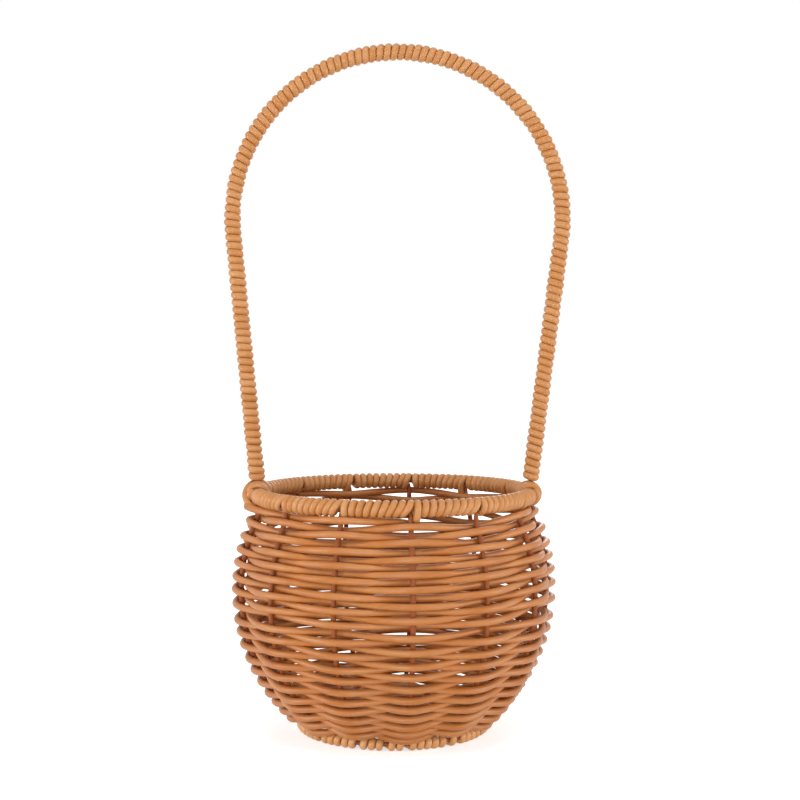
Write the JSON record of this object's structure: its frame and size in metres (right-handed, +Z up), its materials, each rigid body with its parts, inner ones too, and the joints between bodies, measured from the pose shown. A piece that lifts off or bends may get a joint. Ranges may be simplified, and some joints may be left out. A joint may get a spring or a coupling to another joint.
{
  "type": "woven basket",
  "caption": "Round-bellied basket of woven round strand on a wire frame, with an open mouth, a wound foot to stand on and a tall fixed hoop handle.",
  "frame": {"origin": "on the ground, under the middle of the basket's round base", "axes": "+Z up; +X to the right along the handle's span, seen from the front; the front faces -Y"},
  "size_m": [0.1672, 0.1565, 0.3308],
  "materials": {
    "strand": "satin, honey tan",
    "winding": "satin, honey tan",
    "wire": "satin brown paint"
  },
  "bodies": {
    "root": {"stake_01": "wire", "stake_02": "wire", "stake_03": "wire", "stake_04": "wire", "stake_05": "wire", "stake_06": "wire", "stake_07": "wire", "stake_08": "wire", "stake_09": "wire", "stake_10": "wire", "stake_11": "wire", "stake_12": "wire", "stake_13": "wire", "hub_plate": "wire", "rim_hoop": "wire", "foot_hoop": "wire", "handle_rod": "wire", "wall_weave": "strand", "base_weave": "strand", "rim_winding_front": "winding", "rim_winding_back": "winding", "foot_winding": "winding", "handle_winding": "winding", "lashing_left": "winding", "lashing_right": "winding"}
  },
  "joints": []
}
